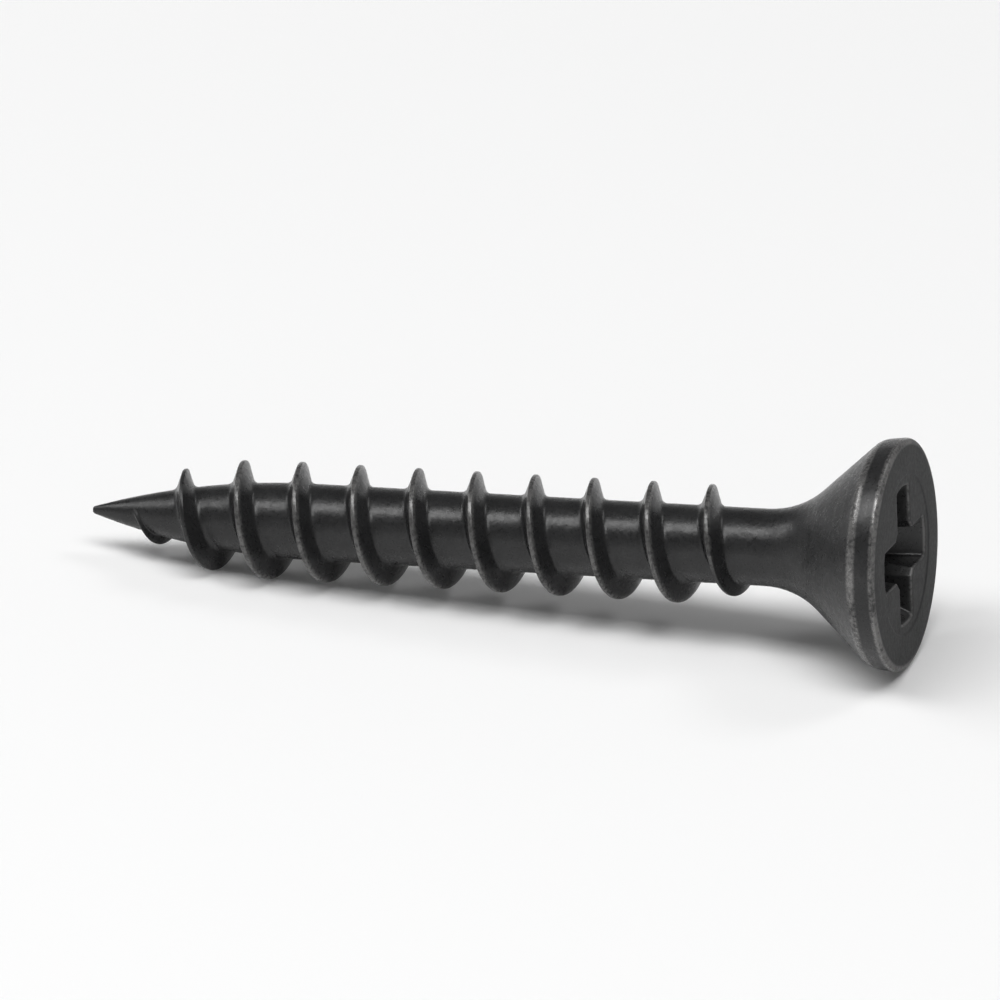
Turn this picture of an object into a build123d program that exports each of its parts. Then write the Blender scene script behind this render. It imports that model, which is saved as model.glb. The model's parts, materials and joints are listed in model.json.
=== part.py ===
from build123d import *
import os
from math import atan2, ceil, cos, radians, sin, sqrt, tan

# Head: a flat face, a narrow rim and a bugle that flares out of the shank
overall_length = 30.0
head_diameter = 8.2
rim_depth = 0.9
bugle_half_angle = 43.0
bugle_radius = 3.2
shoulder_radius = 0.6
face_edge_chamfer = 0.2

# Shank and its bulging point
shank_diameter = 2.7
tip_diameter = 0.24
nose_length = 1.5
nose_diameter = 1.1
taper_height = 4.2
taper_diameter = 2.12
point_length = 7.4

# Thread: one right-handed start, which grows out of the point and fades away under the head
thread_diameter = 4.2
thread_pitch = 2.16
crest_width = 0.14
flank_half_angle = 23.0
taper_length = 6.7
thread_start = 1.65
thread_end = 24.6
start_fade = 1.1
end_fade = 1.2
root_burial = 0.2
end_burial = 0.04
sections_per_turn = 12

# Cross recess, size 2
recess_span = 5.0
wing_width = 1.47
wing_draft = 5.75
web_diameter = 2.5
recess_depth = 2.72
recess_floor_diameter = 2.29
recess_floor_half_angle = 70.0
recess_roll = -8.0

# How far the screw has rolled as it lies: the angle from its underside to where the thread starts
thread_roll = 219.7

# Radii, and heights from the tip along the axis
head_radius = head_diameter / 2
shank_radius = shank_diameter / 2
tip_radius = tip_diameter / 2
thread_radius = thread_diameter / 2
rim_height = overall_length - rim_depth
shoulder_height = rim_height + shoulder_radius * tan(radians(bugle_half_angle / 2))
neck_height = rim_height - (head_radius - shank_radius) / tan(radians(bugle_half_angle))
point_corners = [
    (0, tip_radius),
    (nose_length, nose_diameter / 2),
    (taper_height, taper_diameter / 2),
    (point_length, shank_radius),
]
thread_turns = (thread_end - thread_start) / thread_pitch


def bulged_radius(height, length, start_radius, full_radius):
    """Radius of an arc that starts at the tip and runs smoothly into its cylinder at the given length."""
    if height >= length:
        return full_radius
    rise = full_radius - start_radius
    arc_radius = (length**2 + rise**2) / (2 * rise)
    return full_radius - arc_radius + sqrt(arc_radius**2 - (length - height) ** 2)


def core_at(height):
    """Radius of the bare screw under the thread."""
    for (low, low_radius), (high, high_radius) in zip(point_corners, point_corners[1:]):
        if height <= high:
            return low_radius + (high_radius - low_radius) * (height - low) / (high - low)
    return shank_radius


def crest_at(height):
    """Radius of the thread's crest, which sinks just below the core at both ends."""
    full = bulged_radius(height, taper_length, 0, thread_radius)
    share = min(1, (height - thread_start) / start_fade, (thread_end - height) / end_fade)
    buried = core_at(height) - end_burial
    return buried + (full - buried) * share


# The screw rests on the shoulder under its rim and on the crest that then lies lowest near its point
first_crest = thread_start + thread_pitch * (1 - thread_roll / 360)
underside_crests = [first_crest + thread_pitch * turn for turn in range(int(thread_turns))]
tilt = min(
    atan2(head_radius - crest_at(height), shoulder_height - height) for height in underside_crests
)
toward_head = Vector(cos(tilt), 0, sin(tilt))
toward_floor = Vector(sin(tilt), 0, -cos(tilt))

# The tip's place puts the shoulder on the floor and the whole screw's middle over the origin
face_reach = overall_length * cos(tilt) + (head_radius - face_edge_chamfer) * sin(tilt)
tip_reach = tip_radius * sin(tilt)
tip_lift = (head_radius - shoulder_radius) * cos(tilt) + shoulder_radius - shoulder_height * sin(tilt)
screw_axis = Axis(((tip_reach - face_reach) / 2, 0, tip_lift), toward_head)


def plane_across(height, roll=0.0):
    """Plane square to the axis, which looks toward the head and is turned by the roll from the underside."""
    return Plane(
        origin=screw_axis.position + toward_head * height,
        x_dir=toward_floor.rotate(screw_axis, roll),
        z_dir=toward_head,
    )


def plane_along(height, roll=0.0):
    """Plane through the axis: X points outward at the roll from the underside, and Y to the head."""
    outward = toward_floor.rotate(screw_axis, roll)
    return Plane(
        origin=screw_axis.position + toward_head * height,
        x_dir=outward,
        z_dir=outward.cross(toward_head),
    )


# The driver's recess: a drafted cross and its web, inside a cone that ends in a shallow drill point
with BuildPart() as cross_recess:
    with BuildSketch(plane_across(overall_length, recess_roll)):
        Rectangle(recess_span, wing_width)
        Rectangle(wing_width, recess_span)
        Circle(web_diameter / 2)
    floor_radius = recess_floor_diameter / 2
    point_depth = recess_depth + floor_radius / tan(radians(recess_floor_half_angle))
    extrude(amount=-point_depth, taper=wing_draft)
    with BuildSketch(plane_along(overall_length)):
        with BuildLine():
            Polyline(
                (0, 0),
                (recess_span / 2, 0),
                (floor_radius, -recess_depth),
                (0, -point_depth),
                close=True,
            )
        make_face()
    revolve(axis=screw_axis, mode=Mode.INTERSECT)

with BuildPart() as drywall_screw:
    # Blank, as it is headed and pointed before its thread is rolled
    with BuildSketch(plane_along(0, thread_roll)) as blank:
        with BuildLine():
            Polyline(
                *[(radius, height) for height, radius in reversed(point_corners)],
                (0, 0),
                (0, overall_length),
                (head_radius, overall_length),
                (head_radius, rim_height),
                (shank_radius, neck_height),
                close=True,
            )
        make_face()
        chamfer(blank.vertices().group_by(Axis.X)[-1].sort_by(Axis.Y)[-1], face_edge_chamfer)
        fillet(blank.vertices().group_by(Axis.X)[-1].sort_by(Axis.Y)[0], shoulder_radius)
        fillet(blank.vertices().sort_by_distance((shank_radius, neck_height))[0], bugle_radius)
    revolve(axis=screw_axis)

    # Thread, one smooth stretch for each turn
    for turn in range(ceil(thread_turns)):
        stretch = min(1, thread_turns - turn)
        sections = ceil(stretch * sections_per_turn)
        for section in range(sections + 1):
            turned = turn + stretch * section / sections
            height = thread_start + thread_pitch * turned
            crest = crest_at(height)
            root = core_at(height) - root_burial
            crest_half = crest_width / 2
            root_half = crest_half + (crest - root) * tan(radians(flank_half_angle))
            with BuildSketch(plane_along(height, thread_roll + 360 * turned)):
                with BuildLine():
                    Polyline(
                        (root, -root_half),
                        (crest, -crest_half),
                        (crest, crest_half),
                        (root, root_half),
                        close=True,
                    )
                make_face()
        loft()

    add(cross_recess.part, mode=Mode.SUBTRACT)

drywall_screw.part.label = "drywall_screw"

os.makedirs("parts", exist_ok=True)
export_step(drywall_screw.part, "parts/drywall_screw.step")
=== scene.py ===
import json
from math import asin, atan2, ceil, cos, hypot, pi, radians, sin, sqrt, tan

import bpy
from mathutils import Matrix, Vector


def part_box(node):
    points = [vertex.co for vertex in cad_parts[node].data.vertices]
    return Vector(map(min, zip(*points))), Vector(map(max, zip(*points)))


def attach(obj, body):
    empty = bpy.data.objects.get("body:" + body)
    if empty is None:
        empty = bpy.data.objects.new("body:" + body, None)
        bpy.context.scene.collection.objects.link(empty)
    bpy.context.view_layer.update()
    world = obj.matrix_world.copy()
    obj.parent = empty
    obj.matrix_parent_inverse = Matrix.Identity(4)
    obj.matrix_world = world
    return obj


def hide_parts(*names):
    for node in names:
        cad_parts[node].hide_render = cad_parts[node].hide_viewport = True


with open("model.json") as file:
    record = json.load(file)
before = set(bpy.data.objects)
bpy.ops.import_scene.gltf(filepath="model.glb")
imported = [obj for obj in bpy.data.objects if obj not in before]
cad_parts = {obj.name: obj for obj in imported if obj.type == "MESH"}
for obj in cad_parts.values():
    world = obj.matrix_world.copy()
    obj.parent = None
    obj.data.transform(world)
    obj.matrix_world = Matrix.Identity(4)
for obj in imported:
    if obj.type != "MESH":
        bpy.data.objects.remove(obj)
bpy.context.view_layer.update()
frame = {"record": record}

# Head, in millimetres: a flat face, a narrow rim and a bugle that flares out of the shank
OVERALL_LENGTH = 30.0
HEAD_RADIUS = 4.1
RIM_DEPTH = 0.9
RIM_DRAFT = radians(7)
BUGLE_HALF_ANGLE = radians(43)
BUGLE_ROUNDING = 3.2
SHOULDER_ROUNDING = 0.6
FACE_EDGE_ROUNDING = 0.2
HEAD_ROUNDING_STEPS = 8

# Shallow step that is stamped in the face, around the recess
STEP_RADIUS = 2.85
STEP_DEPTH = 0.035
STEP_SLOPE = 0.08
STEP_ROUNDING = 0.1
STEP_FLOOR_RADIUS = 2.65
STEP_FLOOR = OVERALL_LENGTH - STEP_DEPTH

# Shank and its bulging point, which ends in (radius, height) rings
SHANK_RADIUS = 1.35
TIP_RADIUS = 0.12
POINT_LENGTH = 8.2
NOSE_TOP = 1.2
NOSE_HEIGHTS = [1.0, 0.8, 0.62, 0.46, 0.32, 0.2]
BLUNT_END = [(0.152, 0.11), (0.135, 0.06), (0.1, 0.024), (0.05, 0.005)]
PINCH_LENGTH = 1.6
PINCH = 0.22

# Thread: one right-handed start, which grows out of the point and fades away under the head
THREAD_RADIUS = 2.1
THREAD_HEIGHT = THREAD_RADIUS - SHANK_RADIUS
THREAD_PITCH = 2.16
CREST_HALF_WIDTH = 0.07
CREST_ROUNDING = 0.06
ROOT_ROUNDING = 0.22
FLANK_HALF_ANGLE = radians(23)
ROOT_HALF_WIDTH = CREST_HALF_WIDTH + THREAD_HEIGHT * tan(FLANK_HALF_ANGLE)
CORE_RING = 0.8
TAPER_LENGTH = 6.7
THREAD_START = 1.65
THREAD_END = 24.6
START_FADE = 1.1
END_FADE = 1.2
END_BURIAL = 0.04
THREAD_TOP = 24.8
THREAD_ROLL = radians(219.7)
STEPS_PER_TURN = 96
SECTION_ROUNDING_STEPS = 4
SLIMMEST_SHARE = 0.3

# Cross recess, size 2
RECESS_SPAN = 5.0
WING_WIDTH = 1.47
WING_DRAFT = tan(radians(5.75))
WEB_RADIUS = 1.25
RECESS_DEPTH = 2.72
RECESS_FLOOR_RADIUS = 1.145
RECESS_FLOOR_SLOPE = tan(radians(70))
RECESS_ROLL = radians(-8)
RECESS_EDGE_ROUNDING = 0.08
RECESS_CORNER_ROUNDING = 0.12
RECESS_ROUNDING_STEPS = 3
FACE_MARGIN = 0.03
WALL_DEPTHS = [0.2, 1.1, 1.9, 2.64, RECESS_DEPTH]

# Plain rings that are drawn in from the face, to be shaped into the recess
BLANK_RADIUS = 0.5
BLANK_RING_GAP = 0.2

# How near two heights or two vertices count as one, and how far an edge may bend and look smooth
SAME_HEIGHT = 0.00001
SAME_PLACE = 0.00005
SMOOTH_ANGLE = radians(35)

# Bands in which the wear, the dull face and the turning marks fade in, as radii or heights
CREST_BAND = (THREAD_RADIUS - 0.18, THREAD_RADIUS - 0.01)
THREAD_END_BAND = (THREAD_END, THREAD_END + 0.4)
RIM_BAND = (HEAD_RADIUS - 0.3, HEAD_RADIUS - 0.16)
OVER_BUGLE_BAND = (OVERALL_LENGTH - 1.2, OVERALL_LENGTH - 0.95)
FACE_EDGE_BAND = (OVERALL_LENGTH - 0.24, OVERALL_LENGTH - 0.12)
SHOULDER_BAND = (OVERALL_LENGTH - 0.66, OVERALL_LENGTH - 0.8)
RECESS_EDGE_BAND = (OVERALL_LENGTH - 0.14, OVERALL_LENGTH - 0.09)
UNDER_FACE_BAND = (OVERALL_LENGTH - 0.037, OVERALL_LENGTH - 0.06)
IN_RECESS_BAND = (RECESS_SPAN / 2 + 0.12, RECESS_SPAN / 2 + 0.06)
FACE_BAND = (OVERALL_LENGTH - 0.12, OVERALL_LENGTH - 0.05)
HEAD_BAND = (THREAD_TOP, THREAD_TOP + 1.7)

# Wear: its strength, the patches that it comes in, and how bare and smooth it leaves the steel
CREST_WEAR = 0.65
RECESS_EDGE_WEAR = 0.6
PATCH_CLOUD_SHARE = 0.6
PATCH_BAND = (0.6, 0.95)
PATCH_WEAR = 0.8
LEAST_WEAR = 0.12
BARE_SHARE = 0.85
WEAR_POLISH = 0.08

# Colours of the coating and of the rubbed steel, and where the noises turn one into the next
DARK_COATING = (0.0095, 0.0096, 0.0099)
PALE_COATING = (0.0165, 0.0166, 0.017)
CRYSTALS = (0.03, 0.03, 0.0305)
RUBBED_STEEL = (0.2, 0.197, 0.194)
PALE_BAND = (0.3, 0.7)
CRYSTAL_BAND = (0.45, 0.8)

# Noises of the coating's grain and of the turning marks, as (scale, detail, roughness)
CLOUD_NOISE = (0.9, 3.0, 0.55)
RIPPLE_NOISE = (2.6, 2.0, 0.5)
MOTTLE_NOISE = (7.0, 4.0, 0.6)
CRYSTAL_NOISE = (38.0, 3.0, 0.65)
BUGLE_RING_NOISE = (7.0, 3.0, 0.55)
FACE_RING_NOISE = (5.0, 3.0, 0.55)

# Gloss of the oil film, and how much each noise adds to the relief, whose depth is in metres
MOTTLE_BAND = (0.25, 0.75)
ROUGHNESS = (0.24, 0.38)
FACE_ROUGHNESS = 0.42
OIL_IOR = 1.44
RIPPLE_RELIEF = 2.4
MOTTLE_RELIEF = 0.35
CRYSTAL_RELIEF = 0.3
MARKS_RELIEF = 0.8
RELIEF_STRENGTH = 0.35
RELIEF_DEPTH = 0.00002

# The scene: lengths in metres, but the camera's sensor in millimetres, and elevations as sines
MILLIMETRE = 0.001
TABLE_SIZE = 6
TABLE_DROP = 0.00002
TABLE_COLOUR = (0.86, 0.86, 0.86, 1)
TABLE_LIFT_BAND = (0.03, 0.5)
TABLE_LIFT = (0.02, 0.75)
WALL_TOP = sin(radians(8))
WALL_LEVEL = 0.5
CEILING_EDGE = sin(radians(30))
CEILING_LEVEL = 0.1
SENSOR_WIDTH = 36
CLIP_START = 0.01


def bulged_radius(height, length, start_radius, full_radius):
    """Radius of an arc that starts at the tip and runs smoothly into its cylinder at the length."""
    if height >= length:
        return full_radius
    rise = full_radius - start_radius
    arc_radius = (length**2 + rise**2) / (2 * rise)
    return full_radius - arc_radius + sqrt(arc_radius**2 - (length - height) ** 2)


def core_at(height):
    """Radius of the bare screw under the thread."""
    return bulged_radius(height, POINT_LENGTH, TIP_RADIUS, SHANK_RADIUS)


def crest_at(height):
    """Radius of the thread's crest, which sinks into the core at both ends."""
    full = bulged_radius(height, TAPER_LENGTH, 0, THREAD_RADIUS)
    share = max(0, min(1, (height - THREAD_START) / START_FADE, (THREAD_END - height) / END_FADE))
    buried = core_at(height) - END_BURIAL
    return buried + (full - buried) * share


def rounded_outline(corners, steps):
    """Points along straight lines whose corners, given as (x, y, radius), are rounded."""
    outline = [Vector(corners[0][:2])]
    for before, corner, after in zip(corners, corners[1:], corners[2:]):
        here = Vector(corner[:2])
        back = (Vector(before[:2]) - here).normalized()
        onward = (Vector(after[:2]) - here).normalized()
        radius = corner[2]
        if not radius:
            outline.append(here)
            continue
        half = back.angle(onward) / 2
        middle = here + (back + onward).normalized() * radius / sin(half)
        spoke = here + back * radius / tan(half) - middle
        sweep = (pi - 2 * half) * (-1 if back.cross(onward) > 0 else 1)
        for step in range(steps + 1):
            outline.append(middle + Matrix.Rotation(sweep * step / steps, 2) @ spoke)
    outline.append(Vector(corners[-1][:2]))
    return outline


def deselect_objects():
    if bpy.context.mode != "OBJECT":
        bpy.ops.object.mode_set(mode="OBJECT")
    bpy.ops.object.select_all(action="DESELECT")


def make_active(piece):
    deselect_objects()
    piece.select_set(True)
    bpy.context.view_layer.objects.active = piece


def edit(piece):
    """Opens the piece in edit mode with nothing selected."""
    make_active(piece)
    bpy.ops.object.mode_set(mode="EDIT")
    bpy.ops.mesh.select_mode(type="VERT")
    bpy.ops.mesh.select_all(action="DESELECT")


def select_where(piece, test):
    """Selects the vertices whose place passes the test, in edit mode."""
    edit(piece)
    bpy.ops.object.mode_set(mode="OBJECT")
    for vertex in piece.data.vertices:
        vertex.select = test(vertex.co)
    bpy.ops.object.mode_set(mode="EDIT")


def apply_modifiers(piece):
    make_active(piece)
    for modifier in list(piece.modifiers):
        bpy.ops.object.modifier_apply(modifier=modifier.name)


def apply_place(piece):
    """Moves the piece's own place, turn and size into its mesh."""
    make_active(piece)
    bpy.ops.object.transform_apply(location=True, rotation=True, scale=True)


def thread_section():
    """Section over one pitch, as (distance from the crest along the axis, rise over the core) points."""
    half = rounded_outline(
        [
            (0, THREAD_HEIGHT, 0),
            (CREST_HALF_WIDTH, THREAD_HEIGHT, CREST_ROUNDING),
            ((CREST_HALF_WIDTH + ROOT_HALF_WIDTH) / 2, THREAD_HEIGHT / 2, 0),
            (ROOT_HALF_WIDTH, 0, ROOT_ROUNDING),
            (CORE_RING, 0, 0),
            (THREAD_PITCH / 2, 0, 0),
        ],
        SECTION_ROUNDING_STEPS,
    )
    mirrored = [(-along, rise) for along, rise in reversed(half[1:])]
    return mirrored + [(along, rise) for along, rise in half]


def thread_point(turned, along, rise):
    """Place of a point of the thread's section, a number of turns past the thread's start.

    The skin's first and last turns are held level at its two rims.
    """
    middle = THREAD_START + THREAD_PITCH * turned
    tallness = max(0, crest_at(middle) - core_at(middle)) / THREAD_HEIGHT
    slimness = max(tallness, SLIMMEST_SHARE)
    edge = ROOT_HALF_WIDTH + ROOT_ROUNDING
    if abs(along) <= edge:
        offset = along * slimness
    else:
        spread = (THREAD_PITCH / 2 - edge * slimness) / (THREAD_PITCH / 2 - edge)
        offset = (edge * slimness + (abs(along) - edge) * spread) * (1 if along > 0 else -1)
    height = min(max(middle + offset, NOSE_TOP), THREAD_TOP)
    radius = core_at(height) + rise * tallness
    angle = THREAD_ROLL + 2 * pi * turned
    return Vector((radius * cos(angle), radius * sin(angle), height))


def roll_thread():
    """Rolls core and thread as one skin: an upright strip is swept round the axis and then shaped."""
    section = thread_section()
    deselect_objects()
    bpy.ops.mesh.primitive_plane_add(size=1)
    skin = bpy.context.object
    skin.name = "drywall_screw_body"
    edit(skin)
    bpy.ops.mesh.select_all(action="SELECT")
    bpy.ops.mesh.merge(type="CENTER")
    bpy.ops.transform.translate(value=(SHANK_RADIUS, 0, 0))
    for (before, _), (along, _) in zip(section, section[1:]):
        bpy.ops.mesh.extrude_vertices_move(
            TRANSFORM_OT_translate={"value": (0, 0, along - before)}
        )
    bpy.ops.object.mode_set(mode="OBJECT")
    strip = sorted(skin.data.vertices, key=lambda vertex: vertex.co.z)
    section_of = {vertex.index: point for vertex, point in zip(strip, section)}

    # One turn more than the skin needs at either end, which the rims then take up
    turns_below = (THREAD_START - NOSE_TOP) / THREAD_PITCH + 1
    sweep = skin.modifiers.new("sweep", "SCREW")
    sweep.axis = "Z"
    sweep.iterations = ceil((THREAD_TOP - NOSE_TOP) / THREAD_PITCH) + 2
    sweep.steps = sweep.render_steps = STEPS_PER_TURN
    sweep.screw_offset = THREAD_PITCH
    apply_modifiers(skin)
    for vertex in skin.data.vertices:
        step, strip_index = divmod(vertex.index, len(section))
        along, rise = section_of[strip_index]
        vertex.co = thread_point(step / STEPS_PER_TURN - turns_below, along, rise)
    for rim in (NOSE_TOP, THREAD_TOP):
        select_where(skin, lambda place: abs(place.z - rim) < SAME_HEIGHT)
        bpy.ops.mesh.delete(type="FACE")
    bpy.ops.mesh.select_all(action="SELECT")
    bpy.ops.mesh.remove_doubles(threshold=SAME_PLACE)
    return skin


def draw_out(skin, start, outline):
    """Draws the skin's open rim at the start height out, ring by ring, along (radius, height) points."""
    select_where(skin, lambda place: abs(place.z - start) < SAME_HEIGHT)
    radius, height = core_at(start), start
    for next_radius, next_height in outline:
        scale = next_radius / radius
        bpy.ops.mesh.extrude_region_move(
            TRANSFORM_OT_translate={"value": (0, 0, next_height - height)}
        )
        bpy.ops.transform.resize(value=(scale, scale, 1), center_override=(0, 0, next_height))
        radius, height = next_radius, next_height


def form_nose(skin):
    """Draws the skin down to a blunt, rounded tip."""
    draw_out(skin, NOSE_TOP, [(core_at(height), height) for height in NOSE_HEIGHTS] + BLUNT_END)
    bpy.ops.mesh.merge(type="COLLAPSE")
    last_height = BLUNT_END[-1][1]
    select_where(skin, lambda place: place.z < 2 * last_height)
    bpy.ops.transform.translate(value=(0, 0, -last_height))


def form_head(skin, ring_count):
    """Draws the skin up into the neck, bugle, rim and face, and in to the blank rings of the recess."""
    rim_height = OVERALL_LENGTH - RIM_DEPTH
    neck_height = rim_height - (HEAD_RADIUS - SHANK_RADIUS) / tan(BUGLE_HALF_ANGLE)
    shoulder_radius = HEAD_RADIUS - RIM_DEPTH * tan(RIM_DRAFT)
    outline = rounded_outline(
        [
            (SHANK_RADIUS, THREAD_TOP, 0),
            (SHANK_RADIUS, neck_height, BUGLE_ROUNDING),
            (shoulder_radius, rim_height, SHOULDER_ROUNDING),
            (HEAD_RADIUS, OVERALL_LENGTH, FACE_EDGE_ROUNDING),
            (STEP_RADIUS, OVERALL_LENGTH, STEP_ROUNDING),
            (STEP_RADIUS - STEP_SLOPE, STEP_FLOOR, STEP_ROUNDING),
            (STEP_FLOOR_RADIUS, STEP_FLOOR, 0),
        ],
        HEAD_ROUNDING_STEPS,
    )
    blanks = [
        (BLANK_RADIUS, STEP_FLOOR - BLANK_RING_GAP * number) for number in range(1, ring_count + 1)
    ]
    draw_out(skin, THREAD_TOP, outline[1:] + blanks)
    bpy.ops.mesh.merge(type="COLLAPSE")


def pinch_tip(skin):
    """Flattens the tip a little, as the dies leave it where they pinch the wire off."""
    for vertex in skin.data.vertices:
        if vertex.co.z < PINCH_LENGTH:
            vertex.co.y *= 1 - PINCH * (1 - vertex.co.z / PINCH_LENGTH) ** 2


def recess_reach(depth):
    """Radius of the cone that cuts the wings off, and of the shallow drill point that it ends in."""
    if depth > RECESS_DEPTH:
        return RECESS_FLOOR_RADIUS - (depth - RECESS_DEPTH) * RECESS_FLOOR_SLOPE
    return RECESS_SPAN / 2 + (RECESS_FLOOR_RADIUS - RECESS_SPAN / 2) * depth / RECESS_DEPTH


def recess_section(depth, spread=0.0):
    """Outline of the recess at a depth, widened by the spread, with one point for each step of a turn."""
    half_width = WING_WIDTH / 2 - depth * WING_DRAFT + spread
    web = WEB_RADIUS - depth * WING_DRAFT + spread
    reach = recess_reach(depth) + spread
    wing_angle, web_angle = asin(half_width / reach), asin(half_width / web)
    corner, hollow = reach * cos(wing_angle), web * cos(web_angle)
    eighth = rounded_outline(
        [
            (reach, 0, 0),
            (reach * cos(wing_angle / 3), reach * sin(wing_angle / 3), 0),
            (reach * cos(wing_angle * 2 / 3), reach * sin(wing_angle * 2 / 3), 0),
            (corner, half_width, RECESS_CORNER_ROUNDING),
            ((corner + hollow) / 2, half_width, 0),
            (hollow, half_width, RECESS_CORNER_ROUNDING - spread / 2),
            (web * cos(pi / 4), web * sin(pi / 4), 0),
        ],
        RECESS_ROUNDING_STEPS,
    )
    quarter = eighth[:-1] + [Vector((y, x)) for x, y in reversed(eighth[1:])]
    turns = [Matrix.Rotation(RECESS_ROLL + turn * pi / 2, 2) for turn in range(4)]
    return [turn @ point for turn in turns for point in quarter]


def recess_rings():
    """The recess from its edge in the face down to its drill point, as (depth, section) rings."""
    rings = [(STEP_DEPTH, recess_section(STEP_DEPTH, RECESS_EDGE_ROUNDING + FACE_MARGIN))]
    for step in range(RECESS_ROUNDING_STEPS + 1):
        angle = step / RECESS_ROUNDING_STEPS * pi / 2
        depth = STEP_DEPTH + RECESS_EDGE_ROUNDING * (1 - cos(angle))
        rings.append((depth, recess_section(depth, RECESS_EDGE_ROUNDING * (1 - sin(angle)))))
    rings += [(depth, recess_section(depth)) for depth in WALL_DEPTHS]

    # The drill point cuts the wings' floors and meets the web's wall in a circle
    web_at_floor = WEB_RADIUS - RECESS_DEPTH * WING_DRAFT
    drop = (RECESS_FLOOR_RADIUS - web_at_floor) / (RECESS_FLOOR_SLOPE - WING_DRAFT)
    circle_depth = RECESS_DEPTH + drop
    circle_radius = recess_reach(circle_depth)
    rings.append((circle_depth, [point.normalized() * circle_radius for point in rings[-1][1]]))
    point_depth = RECESS_DEPTH + RECESS_FLOOR_RADIUS / RECESS_FLOOR_SLOPE
    rings.append((point_depth, [Vector((0, 0))] * STEPS_PER_TURN))
    return rings


def shape_recess(skin, rings):
    """Gives the blank rings under the face the recess's sections and depths."""
    bpy.ops.object.mode_set(mode="OBJECT")
    for vertex in skin.data.vertices:
        x, y, height = vertex.co
        if height < THREAD_TOP or hypot(x, y) > 2 * BLANK_RADIUS:
            continue
        depth, section = rings[round((STEP_FLOOR - height) / BLANK_RING_GAP) - 1]
        index = round((atan2(y, x) - RECESS_ROLL) / (2 * pi) * STEPS_PER_TURN) % STEPS_PER_TURN
        vertex.co = (*section[index], OVERALL_LENGTH - depth)


def turn_faces_out(skin):
    edit(skin)
    bpy.ops.mesh.select_all(action="SELECT")
    bpy.ops.mesh.normals_make_consistent(inside=False)
    bpy.ops.object.mode_set(mode="OBJECT")


def form_screw():
    """The whole screw, standing on its tip."""
    rings = recess_rings()
    screw = roll_thread()
    form_nose(screw)
    form_head(screw, len(rings))
    shape_recess(screw, rings)
    pinch_tip(screw)
    turn_faces_out(screw)
    return screw


def lay_down(screw, tip, lean):
    """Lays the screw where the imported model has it, in metres, and smooths its surface."""
    screw.location = tip
    screw.rotation_euler.y = lean
    screw.scale = (MILLIMETRE, MILLIMETRE, MILLIMETRE)
    apply_place(screw)
    bpy.ops.object.shade_smooth_by_angle(angle=SMOOTH_ANGLE)


class NodeTree:
    """A material's or the world's nodes, added and joined one by one."""

    def __init__(self, owner):
        owner.use_nodes = True
        self.tree = owner.node_tree
        self.tree.nodes.clear()

    def add(self, kind, sockets=None, **settings):
        node = self.tree.nodes.new(kind)
        for name, value in settings.items():
            setattr(node, name, value)
        for name, value in (sockets or {}).items():
            if isinstance(value, bpy.types.NodeSocket):
                self.tree.links.new(value, node.inputs[name])
            else:
                node.inputs[name].default_value = value
        return node

    def math(self, operation, first, second=0.0, clamp=False):
        return self.add(
            "ShaderNodeMath", {0: first, 1: second}, operation=operation, use_clamp=clamp
        ).outputs[0]

    def ramp(self, value, low, high, to_low=0.0, to_high=1.0):
        """Smooth rise of the value between two limits."""
        return self.add(
            "ShaderNodeMapRange",
            {"Value": value, "From Min": low, "From Max": high, "To Min": to_low, "To Max": to_high},
            interpolation_type="SMOOTHSTEP",
        ).outputs["Result"]

    def noise(self, place, scale, detail=2.0, roughness=0.5):
        return self.add(
            "ShaderNodeTexNoise",
            {"Vector": place, "Scale": scale, "Detail": detail, "Roughness": roughness},
        ).outputs[0]

    def combine(self, x=0.0, y=0.0, z=0.0):
        return self.add("ShaderNodeCombineXYZ", {0: x, 1: y, 2: z}).outputs[0]

    def length(self, vector):
        return self.add("ShaderNodeVectorMath", {0: vector}, operation="LENGTH").outputs["Value"]

    def blend(self, share, first, second):
        node = self.add("ShaderNodeMix", {0: share}, data_type="RGBA")
        for index, colour in ((6, first), (7, second)):
            if isinstance(colour, bpy.types.NodeSocket):
                self.tree.links.new(colour, node.inputs[index])
            else:
                node.inputs[index].default_value = (*colour, 1)
        return node.outputs[2]


def worn_edges(nodes, radius, height):
    """How much each place is rubbed: the crest, the shoulder, and the face's and recess's edges."""
    on_shank = nodes.ramp(height, *THREAD_END_BAND, 1.0, 0.0)
    crest = nodes.math("MULTIPLY", nodes.ramp(radius, *CREST_BAND, 0.0, CREST_WEAR), on_shank)
    on_rim = nodes.math(
        "MULTIPLY", nodes.ramp(radius, *RIM_BAND), nodes.ramp(height, *OVER_BUGLE_BAND)
    )
    face_edge = nodes.math("MULTIPLY", nodes.ramp(height, *FACE_EDGE_BAND), on_rim)
    shoulder = nodes.math("MULTIPLY", nodes.ramp(height, *SHOULDER_BAND), on_rim)
    under_face = nodes.math(
        "MULTIPLY", nodes.ramp(height, *RECESS_EDGE_BAND), nodes.ramp(height, *UNDER_FACE_BAND)
    )
    in_recess = nodes.ramp(radius, *IN_RECESS_BAND, 0.0, RECESS_EDGE_WEAR)
    recess_edge = nodes.math("MULTIPLY", under_face, in_recess)
    edges = nodes.math("MAXIMUM", crest, nodes.math("MAXIMUM", face_edge, shoulder))
    return nodes.math("MAXIMUM", edges, recess_edge)


def turning_marks(nodes, radius, height, on_face):
    """Relief of the fine rings that the tools leave round the bugle and in the face."""
    bugle_rings = nodes.noise(nodes.combine(z=height), *BUGLE_RING_NOISE)
    face_rings = nodes.noise(nodes.combine(x=radius), *FACE_RING_NOISE)
    rings = nodes.add("ShaderNodeMix", {0: on_face, 2: bugle_rings, 3: face_rings}).outputs[0]
    return nodes.math("MULTIPLY", rings, nodes.ramp(height, *HEAD_BAND, 0.0, MARKS_RELIEF))


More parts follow.
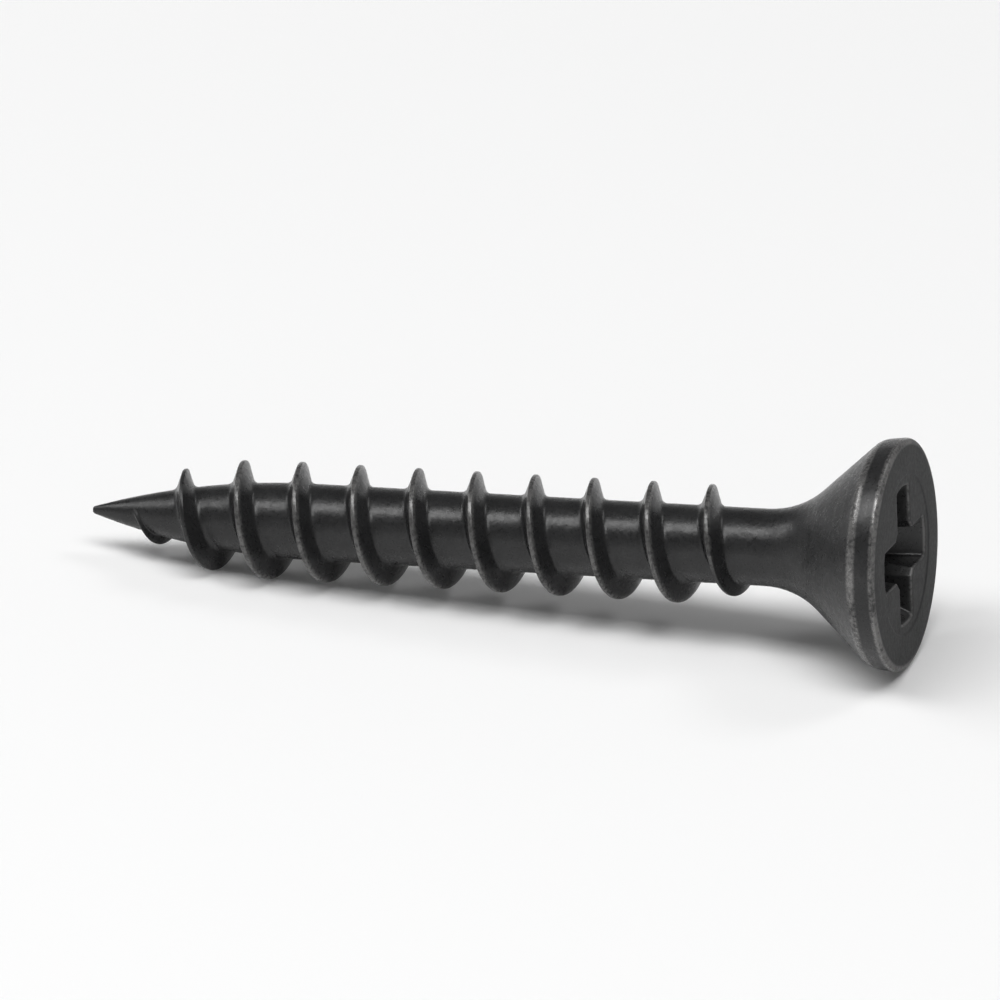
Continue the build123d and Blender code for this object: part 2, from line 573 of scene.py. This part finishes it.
def black_phosphate(tip, lean):
    """Dark grey crystalline coating under a film of oil, a little rubbed on its crests and edges."""
    material = bpy.data.materials.new("black_phosphate")
    nodes = NodeTree(material)

    # Place on the screw as it stands on its tip, in millimetres
    upright = nodes.add(
        "ShaderNodeMapping",
        {
            "Vector": nodes.add("ShaderNodeTexCoord").outputs["Object"],
            "Location": tuple(tip),
            "Rotation": (0, lean, 0),
            "Scale": (MILLIMETRE, MILLIMETRE, MILLIMETRE),
        },
        vector_type="TEXTURE",
    ).outputs[0]
    parts = nodes.add("ShaderNodeSeparateXYZ", {0: upright}).outputs
    radius, height = nodes.length(nodes.combine(parts[0], parts[1])), parts[2]

    cloud = nodes.noise(upright, *CLOUD_NOISE)
    ripple = nodes.noise(upright, *RIPPLE_NOISE)
    mottle = nodes.noise(upright, *MOTTLE_NOISE)
    crystal = nodes.noise(upright, *CRYSTAL_NOISE)

    patchy = nodes.math("ADD", mottle, nodes.math("MULTIPLY", cloud, PATCH_CLOUD_SHARE))
    patchy = nodes.math("MULTIPLY", nodes.ramp(patchy, *PATCH_BAND), PATCH_WEAR)
    patchy = nodes.math("ADD", patchy, LEAST_WEAR)
    wear = nodes.math("MULTIPLY", worn_edges(nodes, radius, height), patchy, clamp=True)

    coating = nodes.blend(nodes.ramp(cloud, *PALE_BAND), DARK_COATING, PALE_COATING)
    coating = nodes.blend(nodes.ramp(crystal, *CRYSTAL_BAND), coating, CRYSTALS)
    colour = nodes.blend(wear, coating, RUBBED_STEEL)
    bare = nodes.math("MULTIPLY", wear, BARE_SHARE)

    on_face = nodes.ramp(height, *FACE_BAND)
    rough = nodes.ramp(mottle, *MOTTLE_BAND, *ROUGHNESS)
    rough = nodes.math("ADD", rough, nodes.math("MULTIPLY", on_face, FACE_ROUGHNESS))
    rough = nodes.math("SUBTRACT", rough, nodes.math("MULTIPLY", wear, WEAR_POLISH))

    grain = nodes.math("MULTIPLY", mottle, MOTTLE_RELIEF)
    grain = nodes.math("ADD", grain, nodes.math("MULTIPLY", crystal, CRYSTAL_RELIEF))
    grain = nodes.math("ADD", grain, nodes.math("MULTIPLY", ripple, RIPPLE_RELIEF))
    grain = nodes.math("ADD", grain, turning_marks(nodes, radius, height, on_face))
    relief = nodes.add(
        "ShaderNodeBump", {"Height": grain, "Strength": RELIEF_STRENGTH, "Distance": RELIEF_DEPTH}
    )
    surface = nodes.add(
        "ShaderNodeBsdfPrincipled",
        {
            "Base Color": colour,
            "Roughness": rough,
            "Normal": relief.outputs[0],
            "Metallic": bare,
            "IOR": OIL_IOR,
        },
    )
    nodes.add("ShaderNodeOutputMaterial", {"Surface": surface.outputs[0]})
    return material


def white_where_seen(nodes, strength):
    """Strength of a white that only the camera, reflections and clear materials see."""
    path = nodes.add("ShaderNodeLightPath")
    seen = nodes.math("MAXIMUM", path.outputs["Is Camera Ray"], path.outputs["Is Glossy Ray"])
    seen = nodes.math("MAXIMUM", seen, path.outputs["Is Transmission Ray"])
    return nodes.math("MULTIPLY", seen, strength)


def lay_table():
    """White table, whose far part is lifted to the white that the lamps give near the screw."""
    deselect_objects()
    bpy.ops.mesh.primitive_plane_add(size=TABLE_SIZE, location=(0, 0, -TABLE_DROP))
    floor = bpy.context.object
    floor.name = "floor"
    material = bpy.data.materials.new("white_table")
    nodes = NodeTree(material)
    paint = nodes.add("ShaderNodeBsdfDiffuse", {"Color": TABLE_COLOUR})
    distance = nodes.length(nodes.add("ShaderNodeTexCoord").outputs["Object"])
    lift = nodes.ramp(distance, *TABLE_LIFT_BAND, *TABLE_LIFT)
    glow = nodes.add("ShaderNodeEmission", {"Strength": white_where_seen(nodes, lift)})
    both = nodes.add("ShaderNodeAddShader", {0: paint.outputs[0], 1: glow.outputs[0]})
    nodes.add("ShaderNodeOutputMaterial", {"Surface": both.outputs[0]})
    floor.data.materials.append(material)


def hang_softbox(name, place, size, power):
    """Soft rectangular lamp that looks at the screw, with its first side along the screw."""
    back = Vector(place).normalized()
    side = Vector((1, 0, 0)) - back * back.x
    side.normalize()
    deselect_objects()
    bpy.ops.object.light_add(type="AREA", location=place)
    lamp = bpy.context.object
    lamp.name = name
    lamp.data.shape = "RECTANGLE"
    lamp.data.size, lamp.data.size_y = size
    lamp.data.energy = power
    lamp.rotation_euler = Matrix((side, back.cross(side), back)).transposed().to_euler()


def light_world():
    """Studio with pale walls that the table runs into, and a dim ceiling over them."""
    world = bpy.data.worlds.new("studio")
    bpy.context.scene.world = world
    nodes = NodeTree(world)
    direction = nodes.add("ShaderNodeTexCoord").outputs["Generated"]
    height = nodes.add("ShaderNodeSeparateXYZ", {0: direction}).outputs[2]
    level = nodes.ramp(height, WALL_TOP, CEILING_EDGE, WALL_LEVEL, CEILING_LEVEL)
    room = nodes.add("ShaderNodeBackground", {"Color": (1, 1, 1, 1), "Strength": level})
    nodes.add("ShaderNodeOutputWorld", {"Surface": room.outputs[0]})


def set_camera(middle, azimuth, elevation, distance, width):
    """Camera on the photograph's side, with the given width of the table in view at the screw."""
    turn, rise = radians(azimuth), radians(elevation)
    aim = Vector((sin(turn) * cos(rise), -cos(turn) * cos(rise), sin(rise)))
    deselect_objects()
    bpy.ops.object.camera_add(location=middle + aim * distance)
    camera = bpy.context.object
    camera.rotation_euler = aim.to_track_quat("Z", "Y").to_euler()
    camera.data.sensor_width = SENSOR_WIDTH
    camera.data.lens = SENSOR_WIDTH * distance / width
    camera.data.clip_start = CLIP_START
    bpy.context.scene.camera = camera


# The recess's mount gives the screw's axis and the middle of its face
drive = next(mount for mount in frame["record"]["mounts"] if mount["name"] == "drive_recess")
axis = Vector(drive["axis"])
tip = Vector(drive["pos_m"]) - axis * OVERALL_LENGTH * MILLIMETRE
lean = atan2(axis.x, axis.z)

screw = form_screw()
lay_down(screw, tip, lean)
screw.data.materials.clear()
screw.data.materials.append(black_phosphate(tip, lean))
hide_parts("drywall_screw")
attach(screw, "root")

screw_low, screw_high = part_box("drywall_screw")
lay_table()
light_world()
hang_softbox("overhead_softbox", place=(-0.03, -0.17, 0.5), size=(0.7, 0.21), power=2.9)
hang_softbox("left_softbox", place=(-0.47, -0.02, 0.38), size=(0.15, 0.3), power=0.6)
hang_softbox("back_softbox", place=(0.29, 0.25, 0.47), size=(0.16, 0.16), power=0.4)
set_camera((screw_low + screw_high) / 2, azimuth=17.5, elevation=26.0, distance=0.45, width=0.035)
bpy.context.scene.view_settings.view_transform = "Standard"
